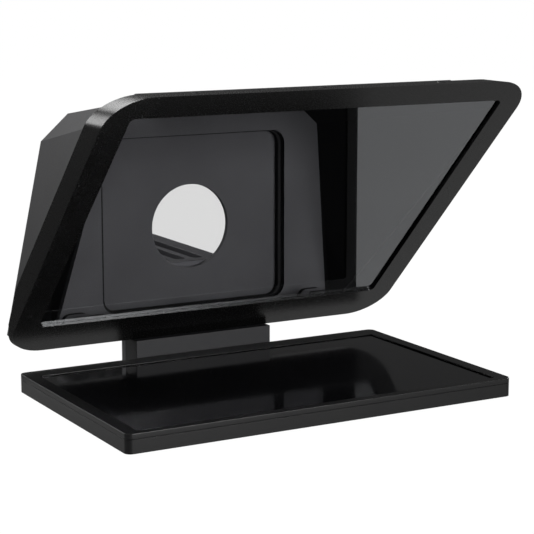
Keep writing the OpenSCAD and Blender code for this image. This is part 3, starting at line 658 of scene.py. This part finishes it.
# %% Tripod bush
low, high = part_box("tripod_bush")
centre = (low + high) / 2
bush_r, bush_h = (high.x - low.x) / 2, high.z - low.z
bush = bmesh.new()
bmesh.ops.create_circle(bush, cap_ends=False, segments=64, radius=bush_r)
outer = bush.edges[:]
pushed = bmesh.ops.extrude_edge_only(bush, edges=outer)
ring = [g for g in pushed["geom"] if isinstance(g, bmesh.types.BMVert)]
bmesh.ops.scale(bush, vec=((STUD_R + 0.1 * MM) / bush_r,) * 2 + (1,), verts=ring)
walls = bmesh.ops.extrude_face_region(bush, geom=bush.faces[:])
raised = [g for g in walls["geom"] if isinstance(g, bmesh.types.BMVert)]
bmesh.ops.translate(bush, vec=(0, 0, bush_h), verts=raised)
bmesh.ops.recalc_face_normals(bush, faces=bush.faces[:])
rounded(bush, 0.25, least_mm=3)
thread(bush, STUD_R, 0.45 * MM, PITCH, 0.3 * MM, bush_h - 0.3 * MM, inward=True)
bmesh.ops.translate(bush, vec=(centre.x, centre.y, low.z), verts=bush.verts[:])
show(bush, "tripod_thread_bush", "base", "brass_insert", [brass], "tripod_bush")
print("tripod bush:", round(bush_r * 2 / MM, 1), "mm across")

# %% [markdown]
# The power inlet is a drawn steel shell with a thin plastic tongue in the middle. The tongue is a
# bevelled bar, and its contacts are gold strips raised on both faces.

# %% Power inlet tongue
def brick(bm, low, high, edge=0.0):
    """Adds a box between two corners, with its edges bevelled."""
    size, middle = Vector(high) - Vector(low), (Vector(high) + Vector(low)) / 2
    made = bmesh.ops.create_cube(bm, size=1, matrix=Matrix.Translation(middle) @ Matrix.Diagonal((*size, 1)))
    faces = list({f for v in made["verts"] for f in v.link_faces})
    if edge:
        edges = list({e for v in made["verts"] for e in v.link_edges})
        bmesh.ops.bevel(bm, geom=edges, offset=edge, offset_type="OFFSET", segments=2, profile=0.5,
                        affect="EDGES", clamp_overlap=True, material=-1)
    return faces


finish_part("usb_c_port", "inlet_shell", "bright_steel", nickel, 0.12, least_mm=3)
low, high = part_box("usb_c_port")
centre = (low + high) / 2
CONTACTS = 12
CONTACT_STEP = 0.5 * MM
tongue = bmesh.new()
brick(tongue, (centre.x - 3.3 * MM, low.y + 1.0 * MM, centre.z - 0.35 * MM),
      (centre.x + 3.3 * MM, high.y - 1.2 * MM, centre.z + 0.35 * MM), 0.15 * MM)
for i in range(CONTACTS):
    x = centre.x + (i - (CONTACTS - 1) / 2) * CONTACT_STEP
    for face in brick(tongue, (x - 0.13 * MM, low.y + 2.5 * MM, centre.z - 0.38 * MM),
                      (x + 0.13 * MM, high.y - 1.6 * MM, centre.z + 0.38 * MM)):
        face.material_index = 1
show(tongue, "inlet_tongue", "base", "moulded_black", [knob_nylon, brass])
print("inlet:", CONTACTS, "contacts on each face")

# %% [markdown]
# What stays as the CAD node: the display module and its board, which are shut inside the tray. They
# still get their real finish, so that an opened or cut-away view looks right.

# %% Finishes on nodes that stay
for node, material in (("lcd_panel", panel_grey), ("display_board", board_green)):
    stays = frame["nodes"][node].data
    stays.materials.clear()
    stays.materials.append(material)
    print(node, "gets", material.name)

# %% [markdown]
# The studio: the camera sees a paper-white floor that runs into a white room, and the floor glows of
# its own, so the object throws almost no shadow on it. A black glossy object shows mostly what it mirrors,
# and a white floor all round would wash it out. So mirrors don't see that floor. They see a smaller
# pale table under the object instead, with a faint glow, which the camera doesn't see.

# %% Floor and mirrored table
def stage_disc(name, radius, centre, colour, glow):
    """A flat disc of the studio, a matt colour with a glow of its own."""
    bm = bmesh.new()
    bmesh.ops.create_circle(bm, cap_ends=True, segments=96, radius=radius)
    bmesh.ops.translate(bm, vec=centre, verts=bm.verts[:])
    mesh = bpy.data.meshes.new(name)
    bm.to_mesh(mesh)
    bm.free()
    disc = bpy.data.objects.new(name, mesh)
    scene.collection.objects.link(disc)
    material, tree, _ = blank(name + " paper")
    sheet = add(tree, "ShaderNodeBsdfPrincipled",
                {"Base Color": linear(colour), "Roughness": 0.9, "Specular IOR Level": 0.0,
                 "Emission Color": (1, 1, 1, 1), "Emission Strength": glow})
    add(tree, "ShaderNodeOutputMaterial", {}, {"Surface": sheet.outputs["BSDF"]})
    mesh.materials.append(material)
    return disc


floor = stage_disc("floor", 14, (0, 0, -0.0004), "202020", 1.0)
floor.visible_diffuse = False
floor.visible_glossy = False
table = stage_disc("table_for_reflections", 0.34, (0.12, -0.13, -0.0006), "e8e8e8", 0.3)
table.visible_camera = False
print("white floor, and a mirrored table 0.68 m across")

# %% [markdown]
# The room is white where the camera looks past the object, and a dim grey for everything else, so
# that the lamps do the lighting. Five soft square lamps stand round it. The front one is the
# strongest, because it has to reach the back wall inside the hood.

# %% Room
world = bpy.data.worlds.new("studio room")
scene.world = world
world.use_nodes = True
tree = world.node_tree
tree.nodes.clear()
ray = add(tree, "ShaderNodeLightPath")
white = add(tree, "ShaderNodeBackground", {"Color": (1, 1, 1, 1), "Strength": 1.0})
grey = add(tree, "ShaderNodeBackground", {"Color": (1, 1, 1, 1), "Strength": 0.07})
seen = add(tree, "ShaderNodeMixShader", {},
           {0: ray.outputs["Is Camera Ray"], 1: grey.outputs[0], 2: white.outputs[0]})
add(tree, "ShaderNodeOutputWorld", {}, {"Surface": seen.outputs[0]})
scene.view_settings.view_transform = "Standard"


# %% Soft lights
def soft_light(name, place, aim, size, watts):
    """A square area light at a place, turned to a point, in metres."""
    lamp = bpy.data.lights.new(name, "AREA")
    lamp.shape = "SQUARE"
    lamp.size = size
    lamp.energy = watts
    holder = bpy.data.objects.new(name, lamp)
    scene.collection.objects.link(holder)
    holder.location = place
    holder.rotation_mode = "QUATERNION"
    holder.rotation_quaternion = (Vector(place) - Vector(aim)).to_track_quat("Z", "Y")
    print(f"{name}: {watts} W")


low, high = cad_box
middle = (low + high) / 2
soft_light("overhead", (-0.55, 0.0, 1.2), middle, 0.6, 7)
soft_light("front", (0.45, -1.7, 0.3), middle, 0.7, 46)
soft_light("behind_high", (0.0, 1.3, 1.2), middle, 0.8, 11)
soft_light("behind_left", (-0.9, 1.4, 0.6), middle, 0.7, 7)
soft_light("side_right", (1.6, 0.4, 0.7), middle, 0.7, 30)

# %% [markdown]
# The camera stands to the reader's left, a little above the tray, with a long lens, so that the
# frame's edges stay nearly parallel.

# %% Camera
AZIMUTH, ELEVATION = radians(-29.362), radians(10.394)
back = Vector((sin(AZIMUTH) * cos(ELEVATION), -cos(AZIMUTH) * cos(ELEVATION), sin(ELEVATION)))
camera = bpy.data.objects.new("camera", bpy.data.cameras.new("camera"))
scene.collection.objects.link(camera)
camera.data.lens = 115.62
camera.data.sensor_width = 36
camera.data.clip_start, camera.data.clip_end = 0.01, 50
camera.location = (-0.43617, -0.77849, 0.23258)
camera.rotation_mode = "QUATERNION"
camera.rotation_quaternion = back.to_track_quat("Z", "Y")
scene.camera = camera
